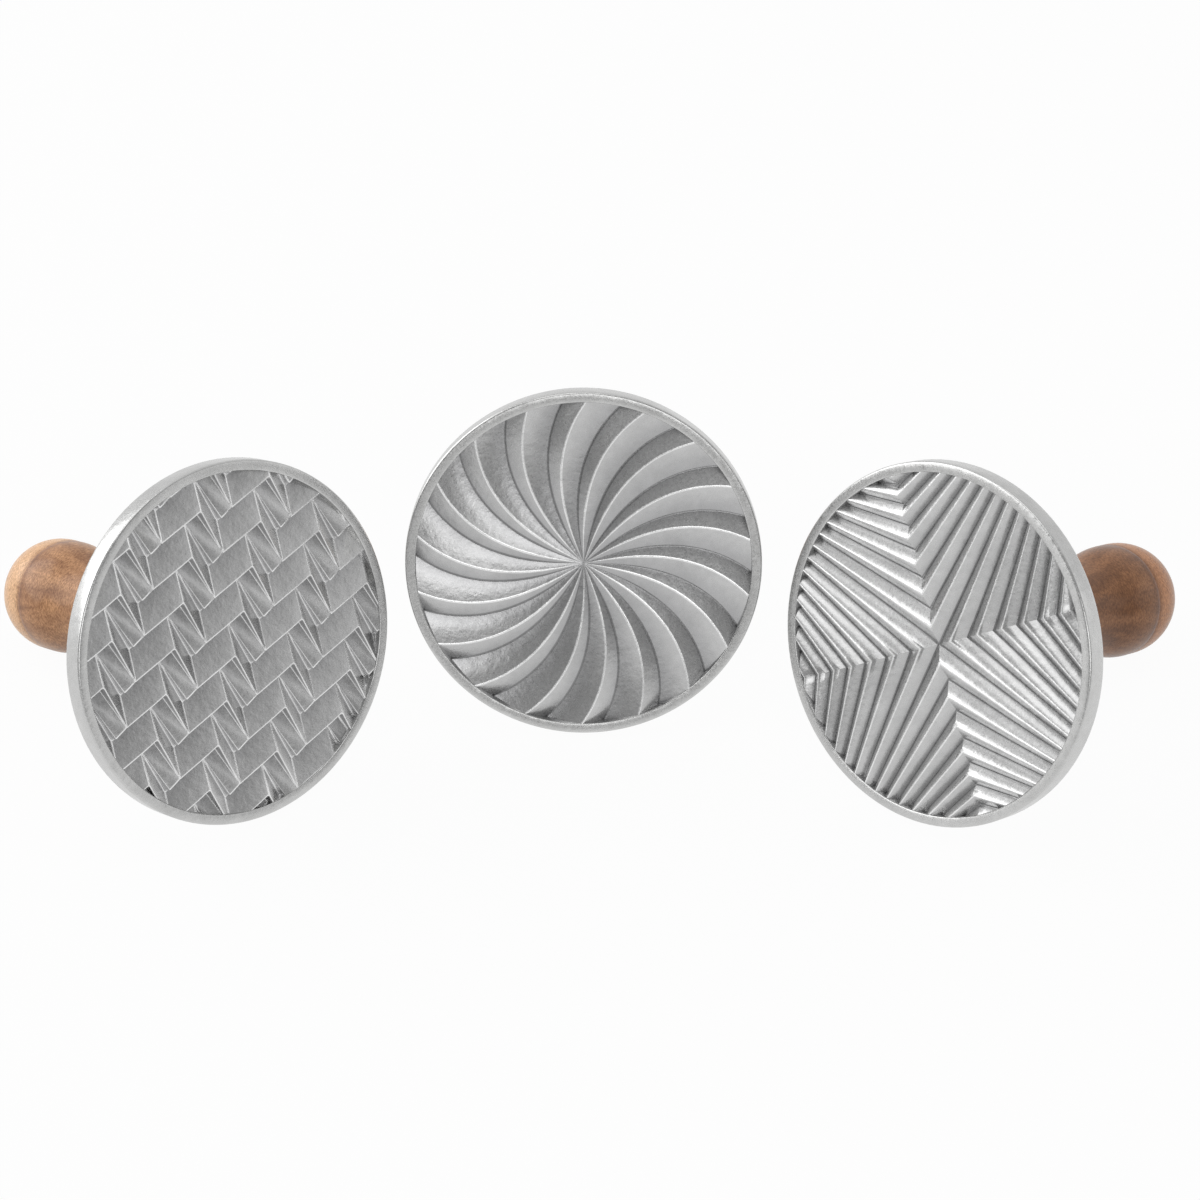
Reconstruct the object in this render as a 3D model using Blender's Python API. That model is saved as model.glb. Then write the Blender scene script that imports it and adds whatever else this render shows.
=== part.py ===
"""Three cast cookie stamps with turned wooden handles, lying side by side.

Each stamp is a die head with a threaded boss, a hanger bolt and a handle. A stamp lies on
the back edge of its head and on its knob, so its press face looks up at a slant. A stamp is
modelled about its own axis: the press rim lies in the plane z = 0, +Z points out of the
face, +X is the right of the face and +Y its top. Metres and radians throughout.
"""
import math

import bmesh
import bpy
from mathutils import Vector

MM = 0.001

# Die head
HEAD_RADIUS = 38.1 * MM
HEAD_THICKNESS = 5.2 * MM
RIM_WIDTH = 2.2 * MM
FRONT_EDGE_RADIUS = 0.5 * MM
BACK_EDGE_RADIUS = 1.0 * MM
BOSS_RADIUS = 11.0 * MM
BOSS_HEIGHT = 5.0 * MM
BOSS_FILLET = 1.5 * MM
BOSS_CHAMFER = 0.5 * MM
BORE_ROOF = 1.4 * MM

# Die patterns, all cut down from the plane of the press rim
RELIEF_DEPTH = 2.2 * MM
CREST_DROP = 0.15 * MM
CUTTER_RISE = 1.0 * MM

SWIRL_BLADES = 18
SWIRL_SWEEP = math.radians(22.0)
SWIRL_SWEEP_POWER = 1.8
SWIRL_FIRST_CREST = math.radians(9.3)
SWIRL_RISER_SHARE = 0.38
SWIRL_HUB_RADIUS = 1.0 * MM
SWIRL_ROWS = 8
SWIRL_LAND_PLACES = (0.52, 0.68, 0.84)

STAR_ARMS = 4
STAR_FIRST_ARM = math.radians(-6.2)
STAR_CENTRE = Vector((0.55, 0.4)) * MM
STAR_RIDGE_PITCH = 5.7 * MM
STAR_VANISHING = 80.0 * MM
STAR_FURROW_DEPTH = 1.8 * MM
STAR_FACE_STEPS = 3

ZIGZAG_TURN = math.radians(13.0)
ZIGZAG_LONG = 10.6 * MM
ZIGZAG_STRIP_WIDTH = 3.6 * MM
ZIGZAG_BEND = 3.2 * MM
ZIGZAG_BEND_RISE = 0.3 * MM
ZIGZAG_ROW_STEP = Vector((-6.83, -6.48)) * MM
ZIGZAG_COLUMN_STEP = Vector((10.46, -10.70)) * MM
ZIGZAG_START = Vector((-5.15, 10.35)) * MM
ZIGZAG_FOLD_SHARE = 0.18
ZIGZAG_DRAFT = 0.25 * MM

# Hanger bolt
STUD_RADIUS = 3.175 * MM
STUD_CHAMFER = 0.6 * MM
STUD_WOOD_LENGTH = 16.0 * MM
STUD_POINT_LENGTH = 4.0 * MM
STUD_POINT_RADIUS = 0.8 * MM

# Handle
HANDLE_FOOT_RADIUS = 10.4 * MM
HANDLE_FOOT_ROUND = 0.8 * MM
HANDLE_WAIST_RADIUS = 7.6 * MM
HANDLE_WAIST_SHARE = 0.62
KNOB_RADIUS = 12.6 * MM
KNOB_BAND = 3.5 * MM
KNOB_SHOULDER = 21.0 * MM
HANDLE_LENGTH = 73.4 * MM

# Fits
GAP = 0.3 * MM

# Where the stamps lie: the side stamps stand a little in front and turn outwards
SWIRL_YAW = 0.0
ZIGZAG_YAW = math.radians(44.7)
STAR_YAW = math.radians(-45.8)
ZIGZAG_SPACING = 3.9 * MM
STAR_SPACING = 5.5 * MM
ZIGZAG_FORWARD = 26.0 * MM
STAR_FORWARD = 26.7 * MM

# Facets
HEAD_SEGMENTS = 72
HANDLE_SEGMENTS = 32
STUD_SEGMENTS = 20
EDGE_STEPS = 2
DOME_STEPS = 7
OGEE_STEPS = 3
SMOOTH_ANGLE = math.radians(32.0)

# Corners closer than this are one corner
WELD = 0.001 * MM

# Sizes that follow from the ones above
WELL_RADIUS = HEAD_RADIUS - RIM_WIDTH
BOSS_END = -(HEAD_THICKNESS + BOSS_HEIGHT)
BORE_RADIUS = STUD_RADIUS + GAP
BORE_END = -(RELIEF_DEPTH + BORE_ROOF)
HANDLE_START = BOSS_END - GAP
HANDLE_END = HANDLE_START - HANDLE_LENGTH
KNOB_CENTRE = HANDLE_END + KNOB_RADIUS
STUD_START = BORE_END - GAP
STUD_END = HANDLE_START - STUD_WOOD_LENGTH
STAR_HALF_TANGENT = math.tan(math.pi / STAR_ARMS)


def clear_scene():
    for old in list(bpy.data.objects):
        bpy.data.objects.remove(old, do_unlink=True)


def make_material(name, colour, roughness, metallic):
    material = bpy.data.materials.new(name)
    material.use_nodes = True
    shader = material.node_tree.nodes["Principled BSDF"]
    shader.inputs["Base Color"].default_value = (*colour, 1.0)
    shader.inputs["Roughness"].default_value = roughness
    shader.inputs["Metallic"].default_value = metallic
    return material


def add_object(name, shape, material=None):
    """Turn a bmesh into an object, shaded smooth up to its sharp edges."""
    bmesh.ops.recalc_face_normals(shape, faces=shape.faces)
    mesh = bpy.data.meshes.new(name)
    shape.to_mesh(mesh)
    shape.free()
    mesh.shade_smooth()
    mesh.set_sharp_from_angle(angle=SMOOTH_ANGLE)
    if material:
        mesh.materials.append(material)
    piece = bpy.data.objects.new(name, mesh)
    bpy.context.scene.collection.objects.link(piece)
    return piece


def add_cutter(name, shape, stand):
    cutter = add_object(name, shape)
    cutter.display_type = "WIRE"
    cutter.hide_render = True
    cutter.parent = stand
    return cutter


def add_boolean(piece, operation, tool):
    modifier = piece.modifiers.new(tool.name, "BOOLEAN")
    modifier.operation = operation
    modifier.solver = "EXACT"
    modifier.object = tool


def arc(radius, centre_radius, centre_height, start, end, steps):
    """Profile points (radius, height) on an arc, angles in degrees from the +radius side."""
    points = []
    for step in range(steps + 1):
        angle = math.radians(start + (end - start) * step / steps)
        points.append((centre_radius + radius * math.cos(angle),
                       centre_height + radius * math.sin(angle)))
    return points


def ogee(start, end, first_share, steps):
    """Two tangent arcs that leave start and reach end along the axis, end lying below."""
    drop = start[1] - end[1]
    side = end[0] - start[0]
    turn = 2.0 * math.atan(abs(side) / drop)
    both_radii = drop / math.sin(turn)
    first = both_radii * first_share
    second = both_radii - first
    outward = math.copysign(1.0, side)
    points = []
    for step in range(1, steps + 1):
        angle = turn * step / steps
        points.append((start[0] + outward * first * (1.0 - math.cos(angle)),
                       start[1] - first * math.sin(angle)))
    for step in range(steps - 1, -1, -1):
        angle = turn * step / steps
        points.append((end[0] - outward * second * (1.0 - math.cos(angle)),
                       end[1] + second * math.sin(angle)))
    return points


def turned(profile, segments):
    """Spin a profile that starts and ends on the axis, with a flat facet facing -Y."""
    half_step = math.pi / segments
    shape = bmesh.new()
    corners = []
    for radius, height in profile:
        corners.append(shape.verts.new((radius * math.cos(half_step),
                                        radius * math.sin(half_step), height)))
    chain = [shape.edges.new(pair) for pair in zip(corners, corners[1:])]
    bmesh.ops.spin(shape, geom=corners + chain, cent=(0, 0, 0), axis=(0, 0, 1),
                   angle=2.0 * math.pi, steps=segments, use_merge=True)
    bmesh.ops.remove_doubles(shape, verts=shape.verts, dist=WELD)
    return shape


def head_blank():
    """The casting before its die is cut: disc, back boss and tapped blind hole."""
    back = -HEAD_THICKNESS
    front_centre = HEAD_RADIUS - FRONT_EDGE_RADIUS
    back_centre = HEAD_RADIUS - BACK_EDGE_RADIUS
    profile = [(0.0, 0.0)]
    profile += arc(FRONT_EDGE_RADIUS, front_centre, -FRONT_EDGE_RADIUS, 90, 0, EDGE_STEPS)
    profile += arc(BACK_EDGE_RADIUS, back_centre, back + BACK_EDGE_RADIUS, 0, -90, EDGE_STEPS)
    profile += arc(BOSS_FILLET, BOSS_RADIUS + BOSS_FILLET, back - BOSS_FILLET, 90, 180, EDGE_STEPS)
    profile.append((BOSS_RADIUS, BOSS_END + BOSS_CHAMFER))
    profile.append((BOSS_RADIUS - BOSS_CHAMFER, BOSS_END))
    profile.append((BORE_RADIUS, BOSS_END))
    profile.append((BORE_RADIUS, BORE_END))
    profile.append((0.0, BORE_END))
    return turned(profile, HEAD_SEGMENTS)


def handle_shape():
    """Foot, waist and knob in one turned outline, with the hole for the bolt."""
    foot_flat = HANDLE_FOOT_RADIUS - HANDLE_FOOT_ROUND
    foot_side = HANDLE_START - HANDLE_FOOT_ROUND
    band_top = KNOB_CENTRE + KNOB_BAND
    waist_height = band_top + KNOB_SHOULDER
    waist = (HANDLE_WAIST_RADIUS, waist_height)
    profile = [(0.0, STUD_END - GAP), (BORE_RADIUS, STUD_END - GAP)]
    profile.append((BORE_RADIUS, HANDLE_START))
    profile += arc(HANDLE_FOOT_ROUND, foot_flat, foot_side, 90, 0, EDGE_STEPS)
    profile += ogee((HANDLE_FOOT_RADIUS, foot_side), waist, 1.0 - HANDLE_WAIST_SHARE, OGEE_STEPS)
    profile += ogee(waist, (KNOB_RADIUS, band_top), HANDLE_WAIST_SHARE, OGEE_STEPS)
    profile += arc(KNOB_RADIUS, 0.0, KNOB_CENTRE, 0, -90, DOME_STEPS)
    return turned(profile, HANDLE_SEGMENTS)


def stud_shape():
    """Hanger bolt blank: chamfered machine end above, pointed wood-screw end below."""
    profile = [(0.0, STUD_START), (STUD_RADIUS - STUD_CHAMFER, STUD_START)]
    profile.append((STUD_RADIUS, STUD_START - STUD_CHAMFER))
    profile.append((STUD_RADIUS, STUD_END + STUD_POINT_LENGTH))
    profile.append((STUD_POINT_RADIUS, STUD_END))
    profile.append((0.0, STUD_END))
    return turned(profile, STUD_SEGMENTS)


def land_height(share):
    """How far a face has risen from its low line to its crest, a little rounded."""
    return 0.5 * (share + math.sin(0.5 * math.pi * share))


def swirl_period():
    """One flute as (place, height) pairs: crest, foot of the riser and up the land."""
    points = [(0.0, 1.0), (SWIRL_RISER_SHARE, 0.0)]
    for place in SWIRL_LAND_PLACES:
        points.append((place, land_height((place - SWIRL_RISER_SHARE) / (1.0 - SWIRL_RISER_SHARE))))
    return points


def close_upwards(shape, height):
    """Close an open relief sheet with a side wall and a flat top."""
    rim = [edge for edge in shape.edges if edge.is_boundary]
    walls = bmesh.ops.extrude_edge_only(shape, edges=rim)["geom"]
    top_corners = [item for item in walls if isinstance(item, bmesh.types.BMVert)]
    for corner in top_corners:
        corner.co.z = height
    top_edges = [item for item in walls if isinstance(item, bmesh.types.BMEdge)
                 and item.is_boundary]
    bmesh.ops.contextual_create(shape, geom=top_edges)


def swirl_point(radius, turn, height):
    """A point of the whorl, whose low lines lie level while the crests sink to the hub."""
    reach = radius / WELL_RADIUS
    angle = turn + SWIRL_SWEEP * (1.0 - reach ** SWIRL_SWEEP_POWER)
    rise = (RELIEF_DEPTH - CREST_DROP) * reach * height
    return (radius * math.cos(angle), radius * math.sin(angle), rise - RELIEF_DEPTH)


def swirl_relief():
    """Whorl of curved flutes from the hub to the rim."""
    columns = []
    for blade in range(SWIRL_BLADES):
        for place, height in swirl_period():
            turn = SWIRL_FIRST_CREST + 2.0 * math.pi * (blade + place) / SWIRL_BLADES
            columns.append((turn, height))
    reach = WELL_RADIUS + CUTTER_RISE
    shape = bmesh.new()
    rows = []
    for row in range(SWIRL_ROWS + 1):
        radius = SWIRL_HUB_RADIUS + (reach - SWIRL_HUB_RADIUS) * row / SWIRL_ROWS
        rows.append([shape.verts.new(swirl_point(radius, *column)) for column in columns])
    for inner, outer in zip(rows, rows[1:]):
        for index in range(len(columns)):
            shape.faces.new((inner[index - 1], outer[index - 1], outer[index], inner[index]))
    hub = shape.faces.new(rows[0])
    bmesh.ops.poke(shape, faces=[hub])
    close_upwards(shape, CUTTER_RISE)
    return shape


def star_columns():
    """Lines of an arm as (across, height), furrows a pitch apart with crests between them."""
    reach = WELL_RADIUS + CUTTER_RISE + STAR_CENTRE.length
    widest = reach * STAR_HALF_TANGENT / (1.0 - reach / STAR_VANISHING)
    step = 0.5 * STAR_RIDGE_PITCH / STAR_FACE_STEPS
    last = math.ceil(widest / step)
    columns = []
    for line in range(-last, last + 1):
        place = abs(line) % (2 * STAR_FACE_STEPS)
        share = min(place, 2 * STAR_FACE_STEPS - place) / STAR_FACE_STEPS
        columns.append((line * step, land_height(share)))
    return columns


def star_point(turn, along, across, height):
    """Point of an arm that is turned about the star's middle."""
    rise = (STAR_FURROW_DEPTH - CREST_DROP) * height
    return (STAR_CENTRE.x + along * math.cos(turn) - across * math.sin(turn),
            STAR_CENTRE.y + along * math.sin(turn) + across * math.cos(turn),
            rise - STAR_FURROW_DEPTH)


def mitre_reach(across):
    """How far along its arm a line starts, where it comes off the mitre."""
    return abs(across) / (STAR_HALF_TANGENT + abs(across) / STAR_VANISHING)


def add_star_arm(shape, turn, columns):
    """Faces between the lines of one arm, which close in on a point beyond the rim."""
    reach = mitre_reach(columns[-1][0])
    inner = []
    outer = []
    for across, height in columns:
        start = mitre_reach(across)
        narrowed = across * (1.0 - start / STAR_VANISHING)
        inner.append(shape.verts.new(star_point(turn, start, narrowed, height)))
        narrowed = across * (1.0 - reach / STAR_VANISHING)
        outer.append(shape.verts.new(star_point(turn, reach, narrowed, height)))
    for one in range(len(columns) - 1):
        shape.faces.new((inner[one], outer[one], outer[one + 1], inner[one + 1]))


def star_relief():
    """Ridges nested in the corners between the arms, each folded over its mitre."""
    columns = star_columns()
    shape = bmesh.new()
    for arm in range(STAR_ARMS):
        add_star_arm(shape, STAR_FIRST_ARM + 2.0 * math.pi * arm / STAR_ARMS, columns)
    bmesh.ops.remove_doubles(shape, verts=shape.verts, dist=WELD)
    bmesh.ops.triangulate(shape, faces=shape.faces)
    close_upwards(shape, CUTTER_RISE)
    return shape


def well_plug():
    """Disc as wide as the well, which trims a pattern to the press rim."""
    shape = bmesh.new()
    bmesh.ops.create_cone(shape, cap_ends=True, segments=HEAD_SEGMENTS, radius1=WELL_RADIUS,
                          radius2=WELL_RADIUS, depth=HEAD_THICKNESS)
    return shape


def zigzag_corner(shape, made, row, column, name, low):
    """Corner of the herringbone, on a crest or at the foot of the wall below it."""
    key = (row, column, name, low)
    if key not in made:
        place = {
            "start": Vector((0.0, 0.0)),
            "bend": Vector((ZIGZAG_BEND, ZIGZAG_BEND_RISE)),
            "fork": Vector((ZIGZAG_LONG, 0.0)),
            "end": Vector((ZIGZAG_LONG + ZIGZAG_STRIP_WIDTH, 0.0)),
        }[name]
        if low:
            sideways = -ZIGZAG_DRAFT if name in ("start", "end") else 0.0
            place = place + Vector((sideways, -ZIGZAG_DRAFT))
        made[key] = new_zigzag_corner(shape, row, column, place, low)
    return made[key]


def new_zigzag_corner(shape, row, column, place, low):
    flat = ZIGZAG_ROW_STEP * row + ZIGZAG_COLUMN_STEP * column + place
    cosine = math.cos(ZIGZAG_TURN)
    sine = math.sin(ZIGZAG_TURN)
    height = -RELIEF_DEPTH if low else -CREST_DROP
    return shape.verts.new((ZIGZAG_START.x + flat.x * cosine - flat.y * sine,
                            ZIGZAG_START.y + flat.x * sine + flat.y * cosine, height))


def zigzag_fold(shape, made, row, column):
    """Corner on a strip's right crest where the link beside it folds."""
    key = (row, column, "fold", False)
    if key not in made:
        top = zigzag_corner(shape, made, row, column, "end", False).co
        foot = zigzag_corner(shape, made, row, column + 1, "bend", False).co
        made[key] = shape.verts.new(top.lerp(foot, ZIGZAG_FOLD_SHARE))
    return made[key]


def zigzag_cell(shape, made, row, column):
    """One repeat: a long flute, a short strip, a folded link and the walls between them."""
    def high(name, down=0, along=0):
        return zigzag_corner(shape, made, row + down, column + along, name, False)

    def low(name, down=0, along=0):
        return zigzag_corner(shape, made, row + down, column + along, name, True)

    fold = zigzag_fold(shape, made, row, column)
    next_fold = zigzag_fold(shape, made, row + 1, column)
    flute = [(low("start"), low("bend"), high("bend", 1)),
             (low("bend"), high("fork", 1), high("bend", 1)),
             (low("bend"), low("fork"), high("fork", 1)),
             (low("fork"), high("end", 1), high("fork", 1))]
    strip = [(low("fork"), low("end"), high("bend", 0, 1)),
             (low("fork"), high("bend", 0, 1), high("start", 0, 1))]
    link = [(low("fork"), low("start", 0, 1), high("end", 1)),
            (low("start", 0, 1), next_fold, high("end", 1)),
            (low("start", 0, 1), high("bend", 1, 1), next_fold)]
    walls = [(high(one), high(two), low(two), low(one))
             for one, two in (("start", "bend"), ("bend", "fork"), ("fork", "end"))]
    walls.append((low("fork"), high("start", 0, 1), low("start", 0, 1)))
    walls.append((high("end"), fold, low("end")))
    walls.append((fold, high("bend", 0, 1), low("end")))
    for face in flute + strip + link + walls:
        shape.faces.new(face)


def zigzag_relief():
    """Herringbone of sloping flutes, strips and links, wider than the well on all sides."""
    reach = WELL_RADIUS + ZIGZAG_START.length + ZIGZAG_COLUMN_STEP.length
    rows = math.ceil(reach / ZIGZAG_ROW_STEP.length)
    columns = math.ceil(reach / ZIGZAG_COLUMN_STEP.length)
    shape = bmesh.new()
    made = {}
    for row in range(-rows, rows + 1):
        for column in range(-columns, columns + 1):
            zigzag_cell(shape, made, row, column)
    close_upwards(shape, CUTTER_RISE)
    return shape


def cut_die(head, name, relief, stand):
    """Trim a relief to the well inside the press rim and sink it into a head."""
    pattern = add_cutter(f"{name}_relief", relief, stand)
    add_boolean(pattern, "INTERSECT", add_cutter(f"{name}_plug", well_plug(), stand))
    add_boolean(head, "DIFFERENCE", pattern)


def lying_tilt():
    """How far the press face looks up when back edge and knob both touch the table."""
    across = HEAD_RADIUS - BACK_EDGE_RADIUS
    along = BACK_EDGE_RADIUS - HEAD_THICKNESS - KNOB_CENTRE
    lift = KNOB_RADIUS - BACK_EDGE_RADIUS
    return math.acos(lift / math.hypot(across, along)) - math.atan2(along, across)


def side_reach(yaw):
    """Half the width of a press face seen from the front, when turned by yaw."""
    return HEAD_RADIUS * math.sqrt(1.0 - (math.sin(yaw) * math.cos(lying_tilt())) ** 2)


def add_stand(name, x, y, yaw):
    """Empty on a stamp's axis, in the middle of its press rim."""
    stand = bpy.data.objects.new(name, None)
    stand.location = (x, y, 0.0)
    stand.rotation_euler = (0.5 * math.pi - lying_tilt(), 0.0, yaw)
    bpy.context.scene.collection.objects.link(stand)
    return stand


def add_stamp(name, stand, relief, materials):
    """Head, bolt and handle of one stamp, placed by their shared stand."""
    aluminium, steel, wood = materials
    head = add_object(f"{name}_head", head_blank(), aluminium)
    stud = add_object(f"{name}_stud", stud_shape(), steel)
    handle = add_object(f"{name}_handle", handle_shape(), wood)
    for piece in (head, stud, handle):
        piece.parent = stand
    cut_die(head, name, relief, stand)
    return (head, handle)


def corners_of(pieces, stand):
    return [stand.matrix_basis @ corner.co for piece in pieces for corner in piece.data.vertices]


def settle(stamps):
    """Lower each stamp onto z = 0 and centre the set on the origin."""
    for stand, pieces in stamps:
        stand.location.z -= min(corner.z for corner in corners_of(pieces, stand))
    corners = [corner for stand, pieces in stamps for corner in corners_of(pieces, stand)]
    for axis in (0, 1):
        lowest = min(corner[axis] for corner in corners)
        highest = max(corner[axis] for corner in corners)
        for stand, pieces in stamps:
            stand.location[axis] -= 0.5 * (lowest + highest)


def main():
    clear_scene()
    aluminium = make_material("cast_aluminium", (0.62, 0.62, 0.62), 0.42, 1.0)
    steel = make_material("zinc_plated_steel", (0.55, 0.56, 0.58), 0.35, 1.0)
    light_wood = make_material("light_oiled_wood", (0.42, 0.24, 0.12), 0.5, 0.0)
    dark_wood = make_material("dark_oiled_wood", (0.24, 0.13, 0.07), 0.5, 0.0)
    left = -(HEAD_RADIUS + side_reach(ZIGZAG_YAW) + ZIGZAG_SPACING)
    right = HEAD_RADIUS + side_reach(STAR_YAW) + STAR_SPACING
    swirl = add_stand("swirl_axis", 0.0, 0.0, SWIRL_YAW)
    zigzag = add_stand("zigzag_axis", left, -ZIGZAG_FORWARD, ZIGZAG_YAW)
    star = add_stand("star_axis", right, -STAR_FORWARD, STAR_YAW)
    stamps = [
        (swirl, add_stamp("swirl", swirl, swirl_relief(), (aluminium, steel, light_wood))),
        (zigzag, add_stamp("zigzag", zigzag, zigzag_relief(), (aluminium, steel, light_wood))),
        (star, add_stamp("star", star, star_relief(), (aluminium, steel, dark_wood))),
    ]
    settle(stamps)


main()
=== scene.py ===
"""Fine meshes, finishes, light and camera for three cast cookie stamps that lie side by side.

A stamp is modelled about its own axis and then moved to its stand: the press rim lies in the
plane z = 0, +Z points out of the face, +X is the right of the face and +Y its top. Lengths are
in metres, and angles in radians but for those that arc takes, which are in degrees.
"""
import math

import bpy
from mathutils import Euler, Matrix, Vector


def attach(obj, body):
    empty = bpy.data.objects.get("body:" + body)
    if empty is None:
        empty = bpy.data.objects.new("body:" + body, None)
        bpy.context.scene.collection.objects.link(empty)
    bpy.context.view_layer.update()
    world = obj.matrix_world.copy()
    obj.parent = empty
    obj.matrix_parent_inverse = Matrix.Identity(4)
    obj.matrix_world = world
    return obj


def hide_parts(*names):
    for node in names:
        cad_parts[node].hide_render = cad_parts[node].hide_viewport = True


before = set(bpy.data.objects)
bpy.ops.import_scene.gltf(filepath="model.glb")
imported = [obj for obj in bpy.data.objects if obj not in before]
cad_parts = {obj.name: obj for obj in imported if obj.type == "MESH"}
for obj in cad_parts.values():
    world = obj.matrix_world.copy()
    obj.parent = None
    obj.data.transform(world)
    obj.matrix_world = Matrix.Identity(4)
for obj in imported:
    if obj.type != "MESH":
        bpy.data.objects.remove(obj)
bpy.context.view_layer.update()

MM = 0.001

# Die head
HEAD_RADIUS = 38.1 * MM
HEAD_THICKNESS = 5.2 * MM
RIM_WIDTH = 2.2 * MM
WELL_RADIUS = HEAD_RADIUS - RIM_WIDTH
WELL_EDGE_RADIUS = 0.25 * MM
FRONT_EDGE_RADIUS = 0.5 * MM
BACK_EDGE_RADIUS = 1.0 * MM
BOSS_RADIUS = 11.0 * MM
BOSS_HEIGHT = 5.0 * MM
BOSS_FILLET = 1.5 * MM
BOSS_CHAMFER = 0.5 * MM
BOSS_END = -(HEAD_THICKNESS + BOSS_HEIGHT)
METAL_OVER_BORE = 1.4 * MM
WELL_EDGE_STEPS = 3
ROUND_STEPS = 5

# Die patterns, with painted light on their lines from 0, painted shade in a hollow, to 1, a
# painted highlight on a crest
RELIEF_DEPTH = 2.2 * MM
CREST_DROP = 0.15 * MM
TRIM_SIDES = 120
TRIM_MARGIN = 0.5 * MM
TRIM_WASTE = 4.0 * MM
LINE_OFFSETS = (0.0, 0.10 * MM, 0.20 * MM, 0.30 * MM, 0.45 * MM)
LINE_HALF_WIDTH = 0.25 * MM
LINE_ROUNDING = 0.28 * MM
# Painted light levels: none, a painted highlight on crests, and painted shade in the star's
# furrows
NO_PAINTED_LIGHT = 0.5
PAINTED_CREST_HIGHLIGHT = 1.0
PAINTED_FURROW_SHADE = 0.1
ROUNDING_SAMPLES = 9
FACE_STEPS = 6
ON_LINE = 0.001

SWIRL_BLADES = 18
SWIRL_SWEEP = math.radians(22.0)
SWIRL_SWEEP_POWER = 1.8
SWIRL_FIRST_CREST = math.radians(9.3)
SWIRL_RISER_SHARE = 0.38
SWIRL_HOLLOWNESS = 0.6
# Painted shade along the foot of each swirl riser
SWIRL_PAINTED_FOOT_SHADE = 0.15
SWIRL_HUB_RADIUS = 0.8 * MM
SWIRL_FULL_LINES = 12.0 * MM
SWIRL_ROWS = 56

STAR_ARMS = 4
STAR_FIRST_ARM = math.radians(-6.2)
STAR_CENTRE = Vector((0.55, 0.4, 0.0)) * MM
STAR_RIDGE_PITCH = 5.7 * MM
STAR_VANISHING = 80.0 * MM
STAR_FURROW_DEPTH = 1.8 * MM
STAR_ROUNDNESS = 0.5
STAR_ROWS = 9
STAR_CREST_PLACE = 0.5

ZIGZAG_TURN = math.radians(13.0)
ZIGZAG_LONG = 10.6 * MM
ZIGZAG_STRIP_WIDTH = 3.6 * MM
ZIGZAG_BEND = 3.2 * MM
ZIGZAG_BEND_RISE = 0.3 * MM
ZIGZAG_ROW_STEP = Vector((-6.83, -6.48, 0.0)) * MM
ZIGZAG_COLUMN_STEP = Vector((10.46, -10.70, 0.0)) * MM
ZIGZAG_START = Vector((-5.15, 10.35, 0.0)) * MM
ZIGZAG_FOLD_SHARE = 0.18
ZIGZAG_DRAFT = 0.25 * MM
ZIGZAG_ROUNDING = 0.42 * MM
ZIGZAG_ROUND_STEPS = 6
ZIGZAG_SHARP_ANGLE = math.radians(15.0)
# Painted highlight on the zigzag's rounded fold edges
ZIGZAG_PAINTED_FOLD_HIGHLIGHT = 0.9

# Hanger bolt
STUD_RADIUS = 3.175 * MM
STUD_CHAMFER = 0.6 * MM
STUD_POINT_LENGTH = 4.0 * MM
STUD_POINT_RADIUS = 0.8 * MM
MACHINE_PITCH = 1.27 * MM
MACHINE_DEPTH = 0.6 * MM
MACHINE_SHARPNESS = 1.0
WOOD_PITCH = 2.2 * MM
WOOD_DEPTH = 0.8 * MM
WOOD_SHARPNESS = 2.5
LENGTH_IN_WOOD = 16.0 * MM
STUD_SIDES = 48
STUD_ROWS = 190

# Handle, and the gaps that keep it, the bolt and the head apart
GAP = 0.3 * MM
BORE_RADIUS = STUD_RADIUS + GAP
BORE_END = -(RELIEF_DEPTH + METAL_OVER_BORE)
STUD_START = BORE_END - GAP
HANDLE_START = BOSS_END - GAP
STUD_END = HANDLE_START - LENGTH_IN_WOOD
HANDLE_FOOT_RADIUS = 10.4 * MM
HANDLE_FOOT_ROUND = 0.8 * MM
HANDLE_WAIST_RADIUS = 7.6 * MM
HANDLE_WAIST_SHARE = 0.62
KNOB_RADIUS = 12.6 * MM
KNOB_BAND = 3.5 * MM
KNOB_SHOULDER = 21.0 * MM
HANDLE_LENGTH = 73.4 * MM
KNOB_CENTRE = HANDLE_START - HANDLE_LENGTH + KNOB_RADIUS
BAND_TOP = KNOB_CENTRE + KNOB_BAND
CREASE_DEPTH = 0.08 * MM
CREASE_WIDTH = 1.6 * MM
CREASE_STEPS = 8
HANDLE_SIDES = 96
CURVE_STEPS = 10
DOME_STEPS = 24
LAST_DOME_DEGREES = -88.0

# How the stamps lie
STAMP_YAW = {"zigzag": math.radians(44.7), "swirl": 0.0, "star": math.radians(-45.8)}

# Limits for shading, merging and finding points
SMOOTH_ANGLE = math.radians(32.0)
WELD = 0.0005 * MM
NEAR = 0.01 * MM

# Finishes: colours as light, and ramps as (place, colour) or (place, amount)
# Aluminium grey by height in the die, darker deeper down as painted shade in the recesses
ALUMINIUM_TONES_WITH_DEPTH_SHADE = (
    (0.0, (0.46, 0.46, 0.465)),
    (0.45, (0.57, 0.57, 0.57)),
    (0.85, (0.63, 0.63, 0.63)),
    (0.95, (0.64, 0.64, 0.635)),
)
# Colour of the painted highlights, and the darkest painted shade in hollow lines
PAINTED_HIGHLIGHT_TONE = (0.94, 0.94, 0.94)
PAINTED_HOLLOW_SHADE = 0.38
CLOUD_SHADE = 0.88
MOTTLE_SHADE = 0.93
GRAIN_SHADE = 0.93
NOISE_LOW = 0.3
NOISE_HIGH = 0.7
ALUMINIUM_ROUGHNESS = (0.25, 0.32)
ZINC_ROUGHNESS = (0.24, 0.42)
ZINC_TONES = ((NOISE_LOW, (0.50, 0.52, 0.56)), (NOISE_HIGH, (0.66, 0.67, 0.68)))
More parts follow.
